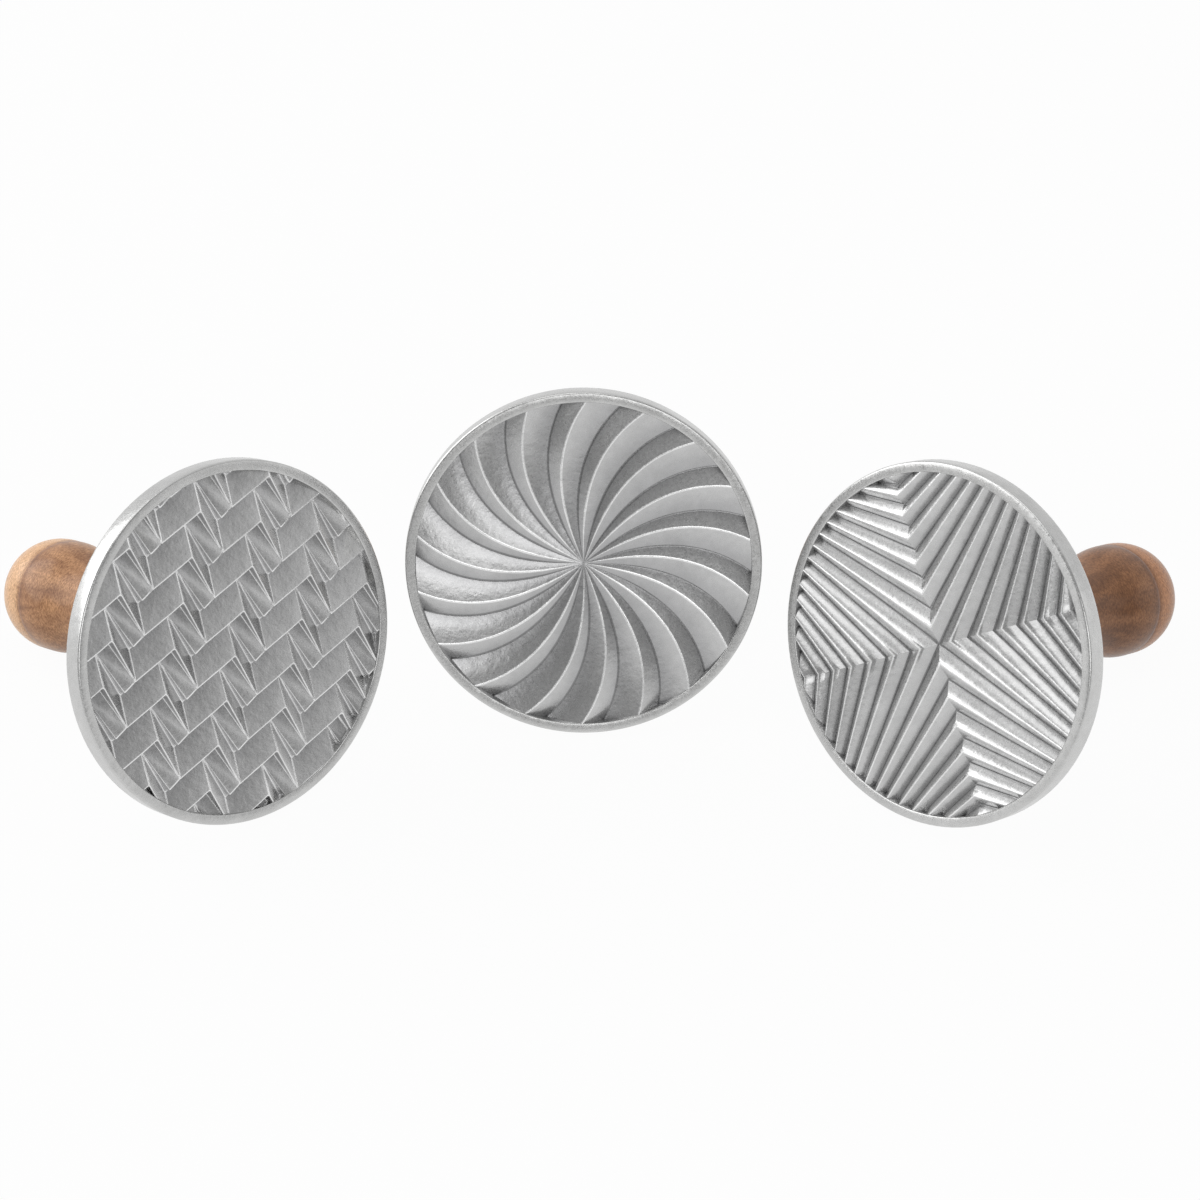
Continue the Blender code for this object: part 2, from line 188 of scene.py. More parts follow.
# Wood tones: early wood, late wood, and the painted rim light on the dome
LIGHT_WOOD = ((0.64, 0.345, 0.17), (0.34, 0.155, 0.068), (0.95, 0.60, 0.34))
DARK_WOOD = ((0.36, 0.168, 0.073), (0.20, 0.085, 0.034), (0.60, 0.28, 0.125))
GRAIN_STRETCH = (1.0, 1.0, 0.09)
FLECK_STRETCH = (0.4, 0.4, 1.2)
EARLY_WOOD_FROM = 0.65
LATE_WOOD_UNTIL = 0.35
FLECK_TONES = ((0.38, (0.50, 0.43, 0.38)), (0.52, (0.80, 0.77, 0.74)), (0.64, (1.0, 1.0, 1.0)))
# Painted rim light along the dome, strongest near its band
PAINTED_DOME_RIM_LIGHT = ((0.0, 0.0), (0.17, 0.95), (0.4, 0.85), (0.85, 0.3))
# Painted shade in the knob's crease
PAINTED_CREASE_SHADE = ((0.0, (1.0, 1.0, 1.0)), (0.4, (0.66, 0.58, 0.52)), (1.0, (1.0, 1.0, 1.0)))
WHITE = (1.0, 1.0, 1.0, 1.0)

# Floor, light and camera, each softbox with its name, place, width, height and glow
FLOOR_SIZE = 12.0
FLOOR_PAINT = (0.62, 0.62, 0.62, 1.0)
FLOOR_GLOW_SHARE = 0.96
SKY_IN_FRONT = 0.36
SKY_BEHIND = 0.85
SKY_FADE = (-0.5, 0.6)
LIGHT_AIM = Vector((0.0, 0.0, 0.03))
SOFTBOXES = (
    ("left", (-1.3, 0.2, 0.7), 1.8, 1.2, 2.0),
    ("front", (0.2, -1.4, 0.75), 1.0, 0.7, 1.8),
    ("right", (1.35, -0.1, 0.42), 1.0, 0.65, 0.5),
    ("above", (-0.2, -0.1, 1.5), 0.8, 0.8, 1.4),
)
CAMERA_LENS = 82.75
CAMERA_FILM = 36.0
CAMERA_RANGE = (0.01, 20.0)
CAMERA_PLACE = (0.00247, -0.47744, 0.39720)
CAMERA_DOWN = 0.67066


def deselect():
    """Deselect everything, the CAD nodes too."""
    for piece in bpy.context.selected_objects:
        piece.select_set(False)


def activate(piece, *others):
    """Select a piece, and others with it, and make it the active one."""
    deselect()
    for one in (piece, *others):
        one.select_set(True)
    bpy.context.view_layer.objects.active = piece


def join(piece, *others):
    """Join the others into the piece."""
    activate(piece, *others)
    bpy.ops.object.join()
    return piece


def repeat(piece, count, step):
    """Put count copies of a piece in a row, each a step beyond the last, as one piece."""
    array = piece.modifiers.new("Array", "ARRAY")
    array.count = count
    array.use_relative_offset = False
    array.use_constant_offset = True
    array.constant_offset_displace = step
    activate(piece)
    bpy.ops.object.modifier_apply(modifier=array.name)


def edit_piece(piece, kind):
    """Go into edit mode with nothing selected, ready to select VERT, EDGE or FACE."""
    activate(piece)
    bpy.ops.object.mode_set(mode="EDIT")
    bpy.ops.mesh.select_mode(type=kind)
    bpy.ops.mesh.select_all(action="DESELECT")


def leave_piece():
    """Go back to object mode."""
    bpy.ops.object.mode_set(mode="OBJECT")


def select_where(piece, kind, chosen):
    """Go into edit mode with those points or faces selected for which chosen says yes."""
    edit_piece(piece, kind)
    leave_piece()
    parts = piece.data.vertices if kind == "VERT" else piece.data.polygons
    for part in parts:
        part.select = chosen(part)
    bpy.ops.object.mode_set(mode="EDIT")


def select_open_edge(piece):
    """Go into edit mode with the piece's open edge selected."""
    edit_piece(piece, "EDGE")
    bpy.ops.mesh.select_non_manifold(extend=False, use_wire=False, use_multi_face=False,
                                     use_non_contiguous=False, use_verts=False)


def weld(piece):
    """Merge the points that lie on each other."""
    edit_piece(piece, "VERT")
    bpy.ops.mesh.select_all(action="SELECT")
    bpy.ops.mesh.remove_doubles(threshold=WELD)
    leave_piece()


def face_outwards(piece):
    """Merge doubles, turn every face outwards and shade smooth up to the sharp edges."""
    weld(piece)
    edit_piece(piece, "FACE")
    bpy.ops.mesh.select_all(action="SELECT")
    bpy.ops.mesh.dissolve_degenerate(threshold=WELD)
    bpy.ops.mesh.normals_make_consistent(inside=False)
    leave_piece()
    bpy.ops.object.shade_smooth_by_angle(angle=SMOOTH_ANGLE)


def add_sheet(name, across, along, place, column_painted_level=None):
    """Grid of across by along points, each put where place(column, row) says.

    The optional column list gives each column's painted light, from 0, painted shade in a hollow
    line, to 1, a painted highlight on a bright line.
    """
    deselect()
    bpy.ops.mesh.primitive_grid_add(x_subdivisions=across - 1, y_subdivisions=along - 1, size=2.0)
    sheet = bpy.context.object
    sheet.name = name
    if column_painted_level:
        painted_light = sheet.data.attributes.new("painted_light", "FLOAT", "POINT")
    for corner in sheet.data.vertices:
        column = round(0.5 * (corner.co.x + 1.0) * (across - 1))
        row = round(0.5 * (corner.co.y + 1.0) * (along - 1))
        corner.co = place(column, row)
        if column_painted_level:
            painted_light.data[corner.index].value = column_painted_level[column]
    return sheet


def arc(radius, centre_radius, centre_height, start, end, steps):
    """Profile points (radius, height) on an arc, angles in degrees from the +radius side."""
    points = []
    for step in range(steps + 1):
        angle = math.radians(start + (end - start) * step / steps)
        points.append((centre_radius + radius * math.cos(angle),
                       centre_height + radius * math.sin(angle)))
    return points


def ogee(start, end, first_share, steps):
    """Two tangent arcs that leave start and reach end along the axis, end lying below."""
    drop = start[1] - end[1]
    side = end[0] - start[0]
    turn = 2.0 * math.atan(abs(side) / drop)
    both_radii = drop / math.sin(turn)
    first = both_radii * first_share
    second = both_radii - first
    outward = math.copysign(1.0, side)
    points = []
    for step in range(1, steps + 1):
        angle = turn * step / steps
        points.append((start[0] + outward * first * (1.0 - math.cos(angle)),
                       start[1] - first * math.sin(angle)))
    for step in range(steps - 1, -1, -1):
        angle = turn * step / steps
        points.append((end[0] - outward * second * (1.0 - math.cos(angle)),
                       end[1] + second * math.sin(angle)))
    return points


def draw_out(piece, profile):
    """Extrude the piece's open edge through a profile of (radius, height) points.

    The profile's first point says where the open edge is, and the edge is levelled to it.
    """
    select_open_edge(piece)
    radius, height = profile[0]
    bpy.ops.mesh.extrude_edges_move()
    bpy.ops.transform.resize(value=(1.0, 1.0, 0.0), center_override=(0.0, 0.0, height))
    for next_radius, next_height in profile[1:]:
        grow = next_radius / radius
        bpy.ops.mesh.extrude_edges_move()
        bpy.ops.transform.translate(value=(0.0, 0.0, next_height - height))
        bpy.ops.transform.resize(value=(grow, grow, 1.0), center_override=(0.0, 0.0, 0.0))
        radius, height = next_radius, next_height
    bpy.ops.mesh.edge_face_add()
    bpy.ops.mesh.poke()
    leave_piece()


def full_height(share):
    """How far a ridge's full face has risen from its furrow to its crest."""
    quarter_turn = 0.5 * math.pi * share
    return (1.0 - STAR_ROUNDNESS) * share + STAR_ROUNDNESS * math.sin(quarter_turn)


def scoop_height(share):
    """How far a scooped land has risen from the foot of a riser to the next crest."""
    quarter_turn = 0.5 * math.pi * share
    return (1.0 - SWIRL_HOLLOWNESS) * share + SWIRL_HOLLOWNESS * (1.0 - math.cos(quarter_turn))


def flute_height(place):
    """Height from 0 to 1 across a flute: crest at 0, foot of the riser, scooped land."""
    place = place % 1.0
    if place < SWIRL_RISER_SHARE:
        return 1.0 - place / SWIRL_RISER_SHARE
    return scoop_height((place - SWIRL_RISER_SHARE) / (1.0 - SWIRL_RISER_SHARE))


def ridge_height(place):
    """Height from 0 to 1 across a ridge: furrow at 0, crest at 0.5, both faces full."""
    return full_height(1.0 - abs(1.0 - 2.0 * (place % 1.0)))


def soften(height, place, rounding):
    """A height as cast, with its crest and its low line rounded."""
    total = 0.0
    for sample in range(ROUNDING_SAMPLES):
        shift = (2.0 * (sample + 0.5) / ROUNDING_SAMPLES - 1.0) * rounding
        total += height(place + shift)
    return total / ROUNDING_SAMPLES


def painted_line_level(place, offset, middle, middle_paint, end_paint):
    """Painted light on the metal near the line in the middle of a period and those at its ends,
    none elsewhere.
    """
    if abs(offset) > LINE_HALF_WIDTH:
        return NO_PAINTED_LIGHT
    if abs(place - middle) < ON_LINE:
        return middle_paint
    return end_paint if min(place, 1.0 - place) < ON_LINE else NO_PAINTED_LIGHT


def period_columns(middle):
    """Lines across a period as (place, offset), an offset being a length beside the place.

    The period has an edge at each end and one at the middle place, and lines close beside each.
    """
    columns = []
    for start, end in ((0.0, middle), (middle, 1.0)):
        columns += [(start, offset) for offset in LINE_OFFSETS]
        for step in range(1, FACE_STEPS):
            share = step / FACE_STEPS
            offset = LINE_OFFSETS[-1] * (1.0 - 2.0 * share)
            columns.append((start + (end - start) * share, offset))
        columns += [(end, -offset) for offset in reversed(LINE_OFFSETS[1:])]
    return columns


def swirl_columns():
    """Lines of the whorl as (place, offset, painted light), with the first line again at the end.
    """
    columns = []
    for blade in range(SWIRL_BLADES):
        for place, offset in period_columns(SWIRL_RISER_SHARE):
            painted_level = painted_line_level(place, offset, SWIRL_RISER_SHARE, SWIRL_PAINTED_FOOT_SHADE, PAINTED_CREST_HIGHLIGHT)
            columns.append((blade + place, offset, painted_level))
    first_place, offset, painted_level = columns[0]
    columns.append((first_place + SWIRL_BLADES, offset, painted_level))
    return columns


def swirl_sheet():
    """Whorl of curved flutes, whose crests sink to the hub while the furrows stay level."""
    columns = swirl_columns()

    def flute_point(column, row):
        place, offset, _ = columns[column]
        share = row / (SWIRL_ROWS - 1.0)
        radius = SWIRL_HUB_RADIUS + (WELL_RADIUS - SWIRL_HUB_RADIUS) * share
        pitch = 2.0 * math.pi * max(radius, SWIRL_FULL_LINES) / SWIRL_BLADES
        place = place + offset / pitch
        reach = radius / WELL_RADIUS
        turn = SWIRL_FIRST_CREST + 2.0 * math.pi * place / SWIRL_BLADES
        angle = turn + SWIRL_SWEEP * (1.0 - reach ** SWIRL_SWEEP_POWER)
        height = soften(flute_height, place, LINE_ROUNDING / pitch)
        rise = (RELIEF_DEPTH - CREST_DROP) * reach * height - RELIEF_DEPTH
        return (radius * math.cos(angle), radius * math.sin(angle), rise)

    painted_level = [column[2] for column in columns]
    sheet = add_sheet("swirl_die", len(columns), SWIRL_ROWS, flute_point, painted_level)
    weld(sheet)
    close_hub(sheet)
    return sheet


def close_hub(sheet):
    """Fill the small hole in the middle of the whorl."""
    select_where(sheet, "VERT", lambda corner: corner.co.xy.length < SWIRL_HUB_RADIUS + NEAR)
    bpy.ops.mesh.edge_face_add()
    bpy.ops.mesh.poke()
    leave_piece()


def star_reach():
    """How far out the strips of an arm run, all across the well and a little past it."""
    return WELL_RADIUS + STAR_CENTRE.length + TRIM_MARGIN


def star_columns():
    """Lines of an arm as (across, height, painted light), the same on both sides of its middle.
    """
    widest = star_reach() / (1.0 - star_reach() / STAR_VANISHING)
    rounding = LINE_ROUNDING / STAR_RIDGE_PITCH
    half = []
    for ridge in range(math.ceil(widest / STAR_RIDGE_PITCH)):
        for place, offset in period_columns(STAR_CREST_PLACE):
            across = (ridge + place) * STAR_RIDGE_PITCH + offset
            height = soften(ridge_height, across / STAR_RIDGE_PITCH, rounding)
            painted_level = painted_line_level(place, offset, STAR_CREST_PLACE, PAINTED_CREST_HIGHLIGHT, PAINTED_FURROW_SHADE)
            half.append((across, height, painted_level))
    other = [(-across, height, painted_level) for across, height, painted_level in reversed(half[1:])]
    return other + half


def mitre_reach(across):
    """How far along its arm a line starts, where it comes off the mitre."""
    return abs(across) / (1.0 + abs(across) / STAR_VANISHING)


def star_arm(turn, columns):
    """Strips between the lines of one arm, which close in on a point beyond the rim."""
    def strip_point(column, row):
        across, height, _ = columns[column]
        start = mitre_reach(across)
        end = max(star_reach(), start)
        along = start + (end - start) * row / (STAR_ROWS - 1.0)
        sideways = across * (1.0 - along / STAR_VANISHING)
        rise = (STAR_FURROW_DEPTH - CREST_DROP) * height - STAR_FURROW_DEPTH
        return (STAR_CENTRE.x + along * math.cos(turn) - sideways * math.sin(turn),
                STAR_CENTRE.y + along * math.sin(turn) + sideways * math.cos(turn), rise)

    painted_level = [column[2] for column in columns]
    return add_sheet("star_arm", len(columns), STAR_ROWS, strip_point, painted_level)


def star_sheet():
    """Ridges nested in the corners between the arms, each folded over its mitre."""
    columns = star_columns()
    arms = []
    for arm in range(STAR_ARMS):
        arms.append(star_arm(STAR_FIRST_ARM + 2.0 * math.pi * arm / STAR_ARMS, columns))
    sheet = join(*arms)
    sheet.name = "star_die"
    weld(sheet)
    keep_near_well(sheet)
    trim_to_well(sheet)
    weld(sheet)
    return sheet


def zigzag_corner(name, level, row=0, column=0):
    """Corner of the herringbone on a crest, or at the foot of the wall below it."""
    place = {
        "start": Vector((0.0, 0.0, 0.0)),
        "bend": Vector((ZIGZAG_BEND, ZIGZAG_BEND_RISE, 0.0)),
        "fork": Vector((ZIGZAG_LONG, 0.0, 0.0)),
        "end": Vector((ZIGZAG_LONG + ZIGZAG_STRIP_WIDTH, 0.0, 0.0)),
    }[name]
    place = place + ZIGZAG_ROW_STEP * row + ZIGZAG_COLUMN_STEP * column
    if level == "crest":
        return place + Vector((0.0, 0.0, -CREST_DROP))
    sideways = -ZIGZAG_DRAFT if name in ("start", "end") else 0.0
    return place + Vector((sideways, -ZIGZAG_DRAFT, -RELIEF_DEPTH))


def zigzag_fold(row=0):
    """Corner on a strip's right crest where the link beside it folds."""
    top = zigzag_corner("end", "crest", row)
    foot = zigzag_corner("bend", "crest", row, 1)
    return top.lerp(foot, ZIGZAG_FOLD_SHARE)


def zigzag_faces():
    """One repeat: a long flute, a short strip, a folded link and the walls between them."""
    def crest(name, row=0, column=0):
        return zigzag_corner(name, "crest", row, column)

    def foot(name, row=0, column=0):
        return zigzag_corner(name, "foot", row, column)

    faces = [
        (foot("start"), foot("bend"), crest("bend", 1)),
        (foot("bend"), foot("fork"), crest("fork", 1), crest("bend", 1)),
        (foot("fork"), crest("end", 1), crest("fork", 1)),
        (foot("fork"), foot("end"), crest("bend", 0, 1)),
        (foot("fork"), crest("bend", 0, 1), crest("start", 0, 1)),
        (foot("fork"), foot("start", 0, 1), crest("end", 1)),
        (foot("start", 0, 1), zigzag_fold(1), crest("end", 1)),
        (foot("start", 0, 1), crest("bend", 1, 1), zigzag_fold(1)),
        (foot("fork"), crest("start", 0, 1), foot("start", 0, 1)),
        (crest("end"), zigzag_fold(), foot("end")),
        (zigzag_fold(), crest("bend", 0, 1), foot("end")),
    ]
    for one, two in (("start", "bend"), ("bend", "fork"), ("fork", "end")):
        faces.append((crest(one), crest(two), foot(two), foot(one)))
    return faces


def zigzag_cell():
    """One repeat of the herringbone as a piece, its faces still apart."""
    corners = []
    faces = []
    for face in zigzag_faces():
        faces.append(tuple(range(len(corners), len(corners) + len(face))))
        corners += face
    mesh = bpy.data.meshes.new("zigzag_die")
    mesh.from_pydata(corners, [], faces)
    cell = bpy.data.objects.new("zigzag_die", mesh)
    bpy.context.scene.collection.objects.link(cell)
    return cell


def zigzag_sheet():
    """Herringbone of sloping flutes, strips and links, trimmed to the well."""
    sheet = zigzag_cell()
    reach = WELL_RADIUS + ZIGZAG_START.length + ZIGZAG_COLUMN_STEP.length
    for step in (ZIGZAG_ROW_STEP, ZIGZAG_COLUMN_STEP):
        count = math.ceil(reach / step.length)
        sheet.data.transform(Matrix.Translation(-count * step))
        repeat(sheet, 2 * count + 1, step)
    weld(sheet)
    sheet.data.transform(Matrix.Translation(ZIGZAG_START) @ Matrix.Rotation(ZIGZAG_TURN, 4, "Z"))
    keep_near_well(sheet)
    round_edges_and_paint_highlights(sheet)
    trim_to_well(sheet)
    return sheet


def round_edges_and_paint_highlights(sheet):
    """Round the sharp edges and paint a highlight on the rounds, the brightest on the crests."""
    edit_piece(sheet, "EDGE")
    bpy.ops.mesh.select_all(action="SELECT")
    bpy.ops.mesh.normals_make_consistent(inside=False)
    bpy.ops.mesh.select_all(action="DESELECT")
    bpy.ops.mesh.edges_select_sharp(sharpness=ZIGZAG_SHARP_ANGLE)
    bpy.ops.mesh.bevel(offset=ZIGZAG_ROUNDING, segments=ZIGZAG_ROUND_STEPS, affect="EDGES",
                       clamp_overlap=True)
    leave_piece()
    painted_light = sheet.data.attributes.new("painted_light", "FLOAT", "POINT")
    for corner in sheet.data.vertices:
        painted_light.data[corner.index].value = NO_PAINTED_LIGHT
    inner = {corner.index for corner in sheet.data.vertices}
    rounds = set()
    for face in sheet.data.polygons:
        if face.select:
            rounds.update(face.vertices)
        else:
            inner.difference_update(face.vertices)
    # Painted highlight on the rounds, none elsewhere
    for corner in rounds & inner:
        on_crest = sheet.data.vertices[corner].co.z > -2.0 * CREST_DROP
        painted_light.data[corner].value = PAINTED_CREST_HIGHLIGHT if on_crest else ZIGZAG_PAINTED_FOLD_HIGHLIGHT


def keep_near_well(sheet):
    """Delete the faces that lie wholly beyond the well and the waste round it."""
    def lies_outside(face):
        nearest = min(sheet.data.vertices[corner].co.xy.length for corner in face.vertices)
        return nearest > WELL_RADIUS + TRIM_WASTE

    select_where(sheet, "FACE", lies_outside)
    bpy.ops.mesh.delete(type="FACE")
    leave_piece()


def trim_to_well(sheet):
    """Cut the sheet along the many sides of the well's wall."""
    edit_piece(sheet, "FACE")
    for side in range(TRIM_SIDES):
        angle = 2.0 * math.pi * side / TRIM_SIDES
        outward = (math.cos(angle), math.sin(angle), 0.0)
        bpy.ops.mesh.select_all(action="SELECT")
        bpy.ops.mesh.bisect(plane_co=Vector(outward) * WELL_RADIUS, plane_no=outward,
                            clear_outer=True, threshold=0.1 * WELD)
    leave_piece()


def cast_head(sheet):
    """Carry a die's open edge on over rim, side, back, boss and bore to a closed casting."""
    back = -HEAD_THICKNESS
    well_edge = WELL_RADIUS + WELL_EDGE_RADIUS
    front_centre = HEAD_RADIUS - FRONT_EDGE_RADIUS
    back_centre = HEAD_RADIUS - BACK_EDGE_RADIUS
    boss_foot = BOSS_RADIUS + BOSS_FILLET
    profile = arc(WELL_EDGE_RADIUS, well_edge, -WELL_EDGE_RADIUS, 180, 90, WELL_EDGE_STEPS)
    profile += arc(FRONT_EDGE_RADIUS, front_centre, -FRONT_EDGE_RADIUS, 90, 0, ROUND_STEPS)
    profile += arc(BACK_EDGE_RADIUS, back_centre, back + BACK_EDGE_RADIUS, 0, -90, ROUND_STEPS)
    profile += arc(BOSS_FILLET, boss_foot, back - BOSS_FILLET, 90, 180, ROUND_STEPS)
    profile.append((BOSS_RADIUS, BOSS_END + BOSS_CHAMFER))
    profile.append((BOSS_RADIUS - BOSS_CHAMFER, BOSS_END))
    profile.append((BORE_RADIUS + BOSS_CHAMFER, BOSS_END))
    profile.append((BORE_RADIUS, BOSS_END + BOSS_CHAMFER))
    profile.append((BORE_RADIUS, BORE_END))
    draw_out(sheet, profile)
    face_outwards(sheet)
    mark_height(sheet)
    return sheet


def mark_height(head):
    """Store how high each point of the die stands, 0 at the furrows and 1 at the rim.

    The painted highlights and painted shade end at the wall of the well.
    """
    heights = head.data.attributes.new("height", "FLOAT", "POINT")
    painted_light = head.data.attributes["painted_light"]
    for corner in head.data.vertices:
        inside = corner.co.xy.length < WELL_RADIUS + NEAR
        on_die = inside and corner.co.z > -RELIEF_DEPTH - NEAR
        on_wall = abs(corner.co.z + WELL_EDGE_RADIUS) < WELD
        risen = (corner.co.z + RELIEF_DEPTH) / RELIEF_DEPTH
        heights.data[corner.index].value = max(risen, 0.0) if on_die else 1.0
        if on_wall or not on_die:
            painted_light.data[corner.index].value = NO_PAINTED_LIGHT


def turn_handle(name):
    """Foot, waist, creased knob and domed end, drawn out from the floor of the bolt's hole."""
    foot_flat = HANDLE_FOOT_RADIUS - HANDLE_FOOT_ROUND
    foot_side = HANDLE_START - HANDLE_FOOT_ROUND
    waist = (HANDLE_WAIST_RADIUS, BAND_TOP + KNOB_SHOULDER)
    hole_floor = STUD_END - GAP
    profile = [(BORE_RADIUS, hole_floor), (BORE_RADIUS, HANDLE_START)]
    profile += arc(HANDLE_FOOT_ROUND, foot_flat, foot_side, 90, 0, ROUND_STEPS)
    profile += ogee((HANDLE_FOOT_RADIUS, foot_side), waist, 1.0 - HANDLE_WAIST_SHARE, CURVE_STEPS)
    profile += ogee(waist, (KNOB_RADIUS, BAND_TOP), HANDLE_WAIST_SHARE, CURVE_STEPS)
    for step in range(CREASE_STEPS):
        share = step / CREASE_STEPS
        sunk = 0.5 * CREASE_DEPTH * (1.0 - math.cos(2.0 * math.pi * share))
        profile.append((KNOB_RADIUS - sunk, BAND_TOP - CREASE_WIDTH * share))
    profile += arc(KNOB_RADIUS, 0.0, KNOB_CENTRE, 0, LAST_DOME_DEGREES, DOME_STEPS)
    deselect()
    bpy.ops.mesh.primitive_circle_add(vertices=HANDLE_SIDES, radius=BORE_RADIUS,
                                      fill_type="TRIFAN", location=(0.0, 0.0, hole_floor))
    handle = bpy.context.object
    bpy.ops.object.transform_apply(location=True, rotation=False, scale=False)
    handle.name = name
    draw_out(handle, profile)
    face_outwards(handle)
    return handle


def thread_radius(turn, height):
    """Radius of the bolt at a turn and a height, with its two threads and its two ends."""
    if height > HANDLE_START:
        pitch, depth, sharpness = MACHINE_PITCH, MACHINE_DEPTH, MACHINE_SHARPNESS
    else:
        pitch, depth, sharpness = WOOD_PITCH, WOOD_DEPTH, WOOD_SHARPNESS
    phase = (height / pitch - turn / (2.0 * math.pi)) % 1.0
    groove = 1.0 - (1.0 - abs(2.0 * phase - 1.0)) ** sharpness
    radius = STUD_RADIUS - depth * groove
    from_start = STUD_START - height
    from_end = height - STUD_END
    if from_start < STUD_CHAMFER:
        radius = min(radius, STUD_RADIUS - STUD_CHAMFER + from_start)
    if from_end < STUD_POINT_LENGTH:
        slope = (STUD_RADIUS - STUD_POINT_RADIUS) / STUD_POINT_LENGTH
        radius = min(radius, STUD_POINT_RADIUS + slope * from_end)
    return radius


def thread_stud(name):
    """Hanger bolt with a machine thread above and a wood thread below."""
    def stud_point(column, row):
        turn = 2.0 * math.pi * column / STUD_SIDES
        height = STUD_START + (STUD_END - STUD_START) * row / (STUD_ROWS - 1.0)
        radius = thread_radius(turn, height)
        return (radius * math.cos(turn), radius * math.sin(turn), height)

    stud = add_sheet(name, STUD_SIDES + 1, STUD_ROWS, stud_point)
    weld(stud)
    select_open_edge(stud)
    bpy.ops.mesh.edge_face_add()
    leave_piece()
    face_outwards(stud)
    return stud


def find_stand(name):
    """Where a stamp's axis and the middle of its press rim lie, read off its CAD head."""
    yaw = STAMP_YAW[name]
    across = HEAD_RADIUS - BACK_EDGE_RADIUS
    along = BACK_EDGE_RADIUS - HEAD_THICKNESS - KNOB_CENTRE
    lift = KNOB_RADIUS - BACK_EDGE_RADIUS
    tilt = math.acos(lift / math.hypot(across, along)) - math.atan2(along, across)
    turn = Euler((0.5 * math.pi - tilt, 0.0, yaw)).to_matrix()
    cad_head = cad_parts[f"{name}_head"].data
    corners = [turn.transposed() @ corner.co for corner in cad_head.vertices]
    middle = []
    for axis in (0, 1):
        values = [corner[axis] for corner in corners]
        middle.append(0.5 * (min(values) + max(values)))
    middle.append(max(corner[2] for corner in corners))
    return Matrix.Translation(turn @ Vector(middle)) @ turn.to_4x4()


def put_on_stand(piece, stand):
    """Move a piece to its stand, with its place in its mesh."""
    piece.matrix_world = stand
    activate(piece)
    bpy.ops.object.transform_apply(location=True, rotation=True, scale=True)


def node_maker(material):
    """Clear a material and give back short functions that add and link its nodes."""
    material.use_nodes = True
    tree = material.node_tree
    tree.nodes.clear()

    def add(kind, **settings):
        node = tree.nodes.new(kind)
        for key, value in settings.items():
            if key in node.inputs.keys():
                node.inputs[key].default_value = value
            else:
                setattr(node, key, value)
        return node

    def link(source, target):
        tree.links.new(source, target)

    return add, link


def grey(shade):
    """A colour without a tint."""
    return (shade, shade, shade)


def colour_ramp(add, link, value, *stops):
    """Colour output of a ramp with these stops of (place, colour), read at a value."""
    ramp = add("ShaderNodeValToRGB")
    elements = ramp.color_ramp.elements
    while len(elements) > 1:
        elements.remove(elements[-1])
    elements[0].position = stops[0][0]
    elements[0].color = (*stops[0][1], 1.0)
    for place, colour in stops[1:]:
        elements.new(place).color = (*colour, 1.0)
    link(value, ramp.inputs["Fac"])
    return ramp.outputs["Color"]


def number_range(add, link, value, start, end, low=0.0, high=1.0):
    """Number output that goes from low to high as a value goes from start to end."""
    limits = {"From Min": start, "From Max": end, "To Min": low, "To Max": high}
    spread = add("ShaderNodeMapRange", **limits)
    link(value, spread.inputs["Value"])
    return spread.outputs["Result"]


def mix_in(add, link, amount, first, colour):
    """Colour output of one colour with an amount of another, fixed colour mixed in."""
    mix = add("ShaderNodeMixRGB", blend_type="MIX", Color2=(*colour, 1.0))
    link(amount, mix.inputs["Fac"])
    link(first, mix.inputs["Color1"])
    return mix.outputs["Color"]


def multiply(add, link, first, second):
    """Colour output of one colour multiplied by another."""
    product = add("ShaderNodeMixRGB", blend_type="MULTIPLY", Fac=1.0)
    link(first, product.inputs["Color1"])
    link(second, product.inputs["Color2"])
    return product.outputs["Color"]


def aluminium_colour(add, link, noises):
    """Colour paler with height, as painted shade deeper in the die, with painted highlights on
    the bright lines and painted shade in the hollow lines, mottled by the noises.
    """
    height = add("ShaderNodeAttribute", attribute_name="height")
    painted_light = add("ShaderNodeAttribute", attribute_name="painted_light").outputs["Fac"]
    # Paler with height: painted shade deeper in the die
    colour = colour_ramp(add, link, height.outputs["Fac"], *ALUMINIUM_TONES_WITH_DEPTH_SHADE)
    # Painted highlight on crests and rounded edges
    painted_shine = number_range(add, link, painted_light, NO_PAINTED_LIGHT, PAINTED_CREST_HIGHLIGHT)
    colour = mix_in(add, link, painted_shine, colour, PAINTED_HIGHLIGHT_TONE)
    for noise, shade in zip(noises, (CLOUD_SHADE, MOTTLE_SHADE, GRAIN_SHADE)):
        spots = colour_ramp(add, link, noise, (NOISE_LOW, grey(shade)), (NOISE_HIGH, grey(1.0)))
        colour = multiply(add, link, colour, spots)
    # Painted shade in hollow lines
    painted_shade = colour_ramp(add, link, painted_light, (0.0, grey(PAINTED_HOLLOW_SHADE)), (NO_PAINTED_LIGHT, grey(1.0)))
    return multiply(add, link, colour, painted_shade)


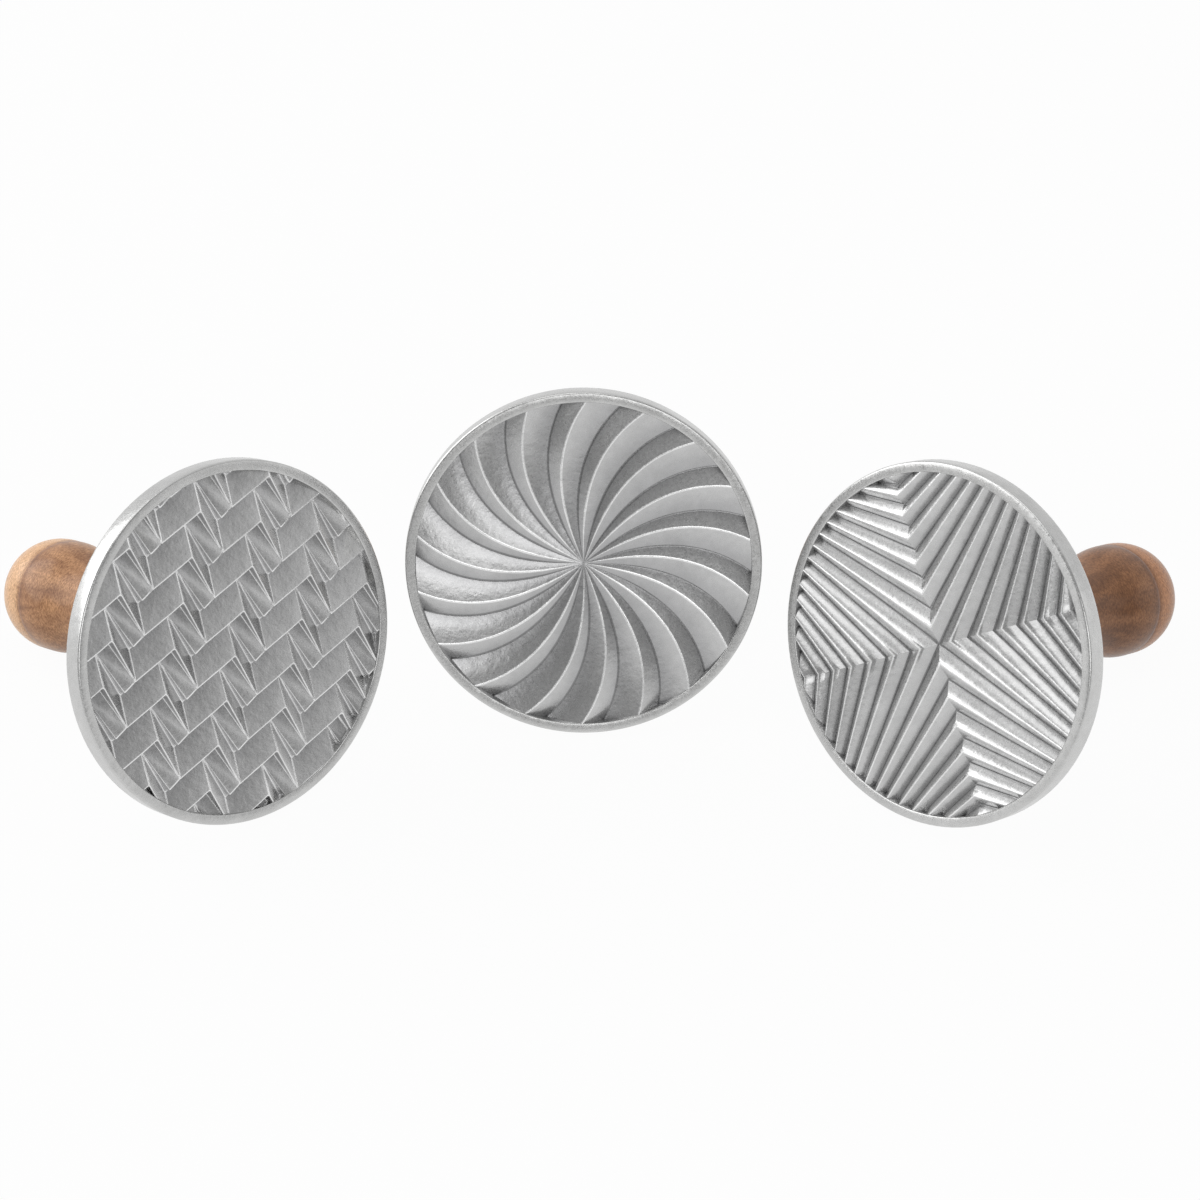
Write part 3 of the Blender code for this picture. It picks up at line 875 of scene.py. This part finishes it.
def cast_aluminium():
    """Satin cast aluminium, grainy and slightly uneven, paler on the rim with painted shade
    deeper in the die, painted highlights on the crests and painted shade in hollow lines.
    """
    material = bpy.data.materials.new("cast_aluminium")
    add, link = node_maker(material)
    output = add("ShaderNodeOutputMaterial")
    shader = add("ShaderNodeBsdfPrincipled", Metallic=1.0)
    place = add("ShaderNodeTexCoord")
    clouds = add("ShaderNodeTexNoise", Scale=130.0, Detail=3.0, Roughness=0.6)
    mottle = add("ShaderNodeTexNoise", Scale=620.0, Detail=2.0, Roughness=0.6)
    grain = add("ShaderNodeTexNoise", Scale=1900.0, Detail=2.0, Roughness=0.6)
    for noise in (clouds, mottle, grain):
        link(place.outputs["Object"], noise.inputs["Vector"])
    noises = [noise.outputs["Fac"] for noise in (clouds, mottle, grain)]
    link(aluminium_colour(add, link, noises), shader.inputs["Base Color"])
    dull = number_range(add, link, grain.outputs["Fac"], NOISE_LOW, NOISE_HIGH,
                        *ALUMINIUM_ROUGHNESS)
    link(dull, shader.inputs["Roughness"])
    waves = add("ShaderNodeBump", Strength=0.6, Distance=0.0001)
    link(mottle.outputs["Fac"], waves.inputs["Height"])
    bump = add("ShaderNodeBump", Strength=0.12, Distance=0.00003)
    link(grain.outputs["Fac"], bump.inputs["Height"])
    link(waves.outputs["Normal"], bump.inputs["Normal"])
    link(bump.outputs["Normal"], shader.inputs["Normal"])
    link(shader.outputs["BSDF"], output.inputs["Surface"])
    return material


def zinc_plated_steel():
    """Bright zinc with a faint cloudy bloom."""
    material = bpy.data.materials.new("zinc_plated_steel")
    add, link = node_maker(material)
    output = add("ShaderNodeOutputMaterial")
    shader = add("ShaderNodeBsdfPrincipled", Metallic=1.0)
    place = add("ShaderNodeTexCoord")
    bloom = add("ShaderNodeTexNoise", Scale=420.0, Detail=4.0, Roughness=0.6)
    link(place.outputs["Object"], bloom.inputs["Vector"])
    colour = colour_ramp(add, link, bloom.outputs["Fac"], *ZINC_TONES)
    link(colour, shader.inputs["Base Color"])
    dull = number_range(add, link, bloom.outputs["Fac"], 0.0, 1.0, *ZINC_ROUGHNESS)
    link(dull, shader.inputs["Roughness"])
    link(shader.outputs["BSDF"], output.inputs["Surface"])
    return material


def wood_noise(add, link, local, stretch, **settings):
    """Noise output in the handle's own space, stretched by a scale along each axis."""
    place = add("ShaderNodeMapping")
    place.inputs["Scale"].default_value = stretch
    link(local, place.inputs["Vector"])
    noise = add("ShaderNodeTexNoise", **settings)
    link(place.outputs["Vector"], noise.inputs["Vector"])
    return noise.outputs["Fac"]


def wood_colour(add, link, local, flecks, tones):
    """Grain of early and late wood, a painted rim light in a band fading to the pole, flecks and
    painted shade in the crease.
    """
    early, late, rim_light_tone = tones
    figure = wood_noise(add, link, local, GRAIN_STRETCH, Scale=240.0, Detail=4.0,
                        Roughness=0.55, Distortion=0.4)
    colour = colour_ramp(add, link, figure, (LATE_WOOD_UNTIL, late), (EARLY_WOOD_FROM, early))
    split = add("ShaderNodeSeparateXYZ")
    link(local, split.inputs["Vector"])
    height = split.outputs["Z"]
    # Painted rim light on the dome, fading to the pole
    along_dome = number_range(add, link, height, BAND_TOP, KNOB_CENTRE - KNOB_RADIUS)
    stops = [(place, grey(amount)) for place, amount in PAINTED_DOME_RIM_LIGHT]
    painted_rim_light = colour_ramp(add, link, along_dome, *stops)
    colour = mix_in(add, link, painted_rim_light, colour, rim_light_tone)
    colour = multiply(add, link, colour, colour_ramp(add, link, flecks, *FLECK_TONES))
    # Painted shade in the knob's crease
    across = number_range(add, link, height, BAND_TOP - CREASE_WIDTH, BAND_TOP + CREASE_WIDTH)
    painted_crease_darkening = colour_ramp(add, link, across, *PAINTED_CREASE_SHADE)
    return multiply(add, link, colour, painted_crease_darkening)


def turned_wood(name, stand, tones):
    """Oiled wood, its grain along the handle, the tones being early wood, late wood and the
    painted rim light on the dome.
    """
    material = bpy.data.materials.new(name)
    add, link = node_maker(material)
    output = add("ShaderNodeOutputMaterial")
    shader = add("ShaderNodeBsdfPrincipled", Roughness=0.5)
    shader.inputs["Specular IOR Level"].default_value = 0.25
    shader.inputs["Coat Weight"].default_value = 0.45
    shader.inputs["Coat Roughness"].default_value = 0.2
    place = add("ShaderNodeTexCoord")
    local = add("ShaderNodeMapping", vector_type="TEXTURE")
    local.inputs["Location"].default_value = stand.to_translation()
    local.inputs["Rotation"].default_value = stand.to_euler()
    link(place.outputs["Object"], local.inputs["Vector"])
    local_place = local.outputs["Vector"]
    flecks = wood_noise(add, link, local_place, FLECK_STRETCH, Scale=3800.0, Detail=3.0,
                        Roughness=0.65)
    colour = wood_colour(add, link, local_place, flecks, tones)
    link(colour, shader.inputs["Base Color"])
    bump = add("ShaderNodeBump", Strength=0.3, Distance=0.00006)
    link(flecks, bump.inputs["Height"])
    link(bump.outputs["Normal"], shader.inputs["Normal"])
    link(shader.outputs["BSDF"], output.inputs["Surface"])
    return material


def dress_stamp(name, sheet, aluminium, steel, wood_slot, wood_tones):
    """Head, bolt and handle of one stamp, each in place of its CAD node."""
    stand = find_stand(name)
    wood = turned_wood(wood_slot, stand, wood_tones)
    pieces = (
        ("head", cast_head(sheet), aluminium, "cast_aluminium"),
        ("stud", thread_stud(f"{name}_bolt"), steel, "zinc_plated_steel"),
        ("handle", turn_handle(f"{name}_knob"), wood, wood_slot),
    )
    for part, piece, material, slot in pieces:
        put_on_stand(piece, stand)
        piece.data.materials.clear()
        piece.data.materials.append(material)
        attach(piece, f"{name}_{part}")
        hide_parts(f"{name}_{part}")


def pale_floor():
    """Paint that glows white wherever it is seen, but for a share that keeps the shadow."""
    material = bpy.data.materials.new("pale_floor")
    add, link = node_maker(material)
    output = add("ShaderNodeOutputMaterial")
    paint = add("ShaderNodeBsdfDiffuse", Color=FLOOR_PAINT)
    glow = add("ShaderNodeEmission", Color=WHITE, Strength=1.0)
    rays = add("ShaderNodeLightPath")
    seen = add("ShaderNodeMath", operation="MAXIMUM")
    through = add("ShaderNodeMath", operation="MAXIMUM")
    link(rays.outputs["Is Camera Ray"], seen.inputs[0])
    link(rays.outputs["Is Glossy Ray"], seen.inputs[1])
    link(seen.outputs["Value"], through.inputs[0])
    link(rays.outputs["Is Transmission Ray"], through.inputs[1])
    share = add("ShaderNodeMath", operation="MULTIPLY")
    share.inputs[1].default_value = FLOOR_GLOW_SHARE
    link(through.outputs["Value"], share.inputs[0])
    blend = add("ShaderNodeMixShader")
    link(share.outputs["Value"], blend.inputs["Fac"])
    link(paint.outputs["BSDF"], blend.inputs[1])
    link(glow.outputs["Emission"], blend.inputs[2])
    link(blend.outputs["Shader"], output.inputs["Surface"])
    return material


def add_floor():
    """Wide floor under the stamps."""
    deselect()
    bpy.ops.mesh.primitive_plane_add(size=FLOOR_SIZE, location=(0.0, 0.0, 0.0))
    floor = bpy.context.object
    floor.name = "floor"
    floor.data.materials.append(pale_floor())


def light_world():
    """White wherever the camera looks past the floor, otherwise soft light, weaker in front."""
    world = bpy.data.worlds.new("studio")
    bpy.context.scene.world = world
    add, link = node_maker(world)
    output = add("ShaderNodeOutputWorld")
    place = add("ShaderNodeTexCoord")
    split = add("ShaderNodeSeparateXYZ")
    link(place.outputs["Generated"], split.inputs["Vector"])
    fade = number_range(add, link, split.outputs["Y"], *SKY_FADE, SKY_IN_FRONT, SKY_BEHIND)
    soft = add("ShaderNodeBackground", Color=WHITE)
    link(fade, soft.inputs["Strength"])
    white = add("ShaderNodeBackground", Color=WHITE, Strength=1.0)
    rays = add("ShaderNodeLightPath")
    blend = add("ShaderNodeMixShader")
    link(rays.outputs["Is Camera Ray"], blend.inputs["Fac"])
    link(soft.outputs["Background"], blend.inputs[1])
    link(white.outputs["Background"], blend.inputs[2])
    link(blend.outputs["Shader"], output.inputs["Surface"])


def add_softbox(name, place, width, height, glow):
    """Rectangular area light that faces the stamps and looks white at a glow of 1."""
    lamp = bpy.data.lights.new(name, "AREA")
    lamp.shape = "RECTANGLE"
    lamp.size = width
    lamp.size_y = height
    lamp.energy = glow * math.pi * width * height
    holder = bpy.data.objects.new(name, lamp)
    holder.location = place
    holder.rotation_euler = (LIGHT_AIM - Vector(place)).to_track_quat("-Z", "Y").to_euler()
    bpy.context.scene.collection.objects.link(holder)


def add_camera():
    """Camera at the photographed viewing angle."""
    data = bpy.data.cameras.new("camera")
    data.lens = CAMERA_LENS
    data.sensor_width = CAMERA_FILM
    data.clip_start, data.clip_end = CAMERA_RANGE
    camera = bpy.data.objects.new("camera", data)
    camera.location = CAMERA_PLACE
    camera.rotation_euler = (0.5 * math.pi - CAMERA_DOWN, 0.0, 0.0)
    bpy.context.scene.collection.objects.link(camera)
    bpy.context.scene.camera = camera


aluminium = cast_aluminium()
steel = zinc_plated_steel()
dress_stamp("zigzag", zigzag_sheet(), aluminium, steel, "light_wood", LIGHT_WOOD)
dress_stamp("swirl", swirl_sheet(), aluminium, steel, "light_wood", LIGHT_WOOD)
dress_stamp("star", star_sheet(), aluminium, steel, "dark_wood", DARK_WOOD)
add_floor()
light_world()
for name, place, width, height, glow in SOFTBOXES:
    add_softbox(name, place, width, height, glow)
add_camera()
bpy.context.scene.view_settings.view_transform = "Standard"
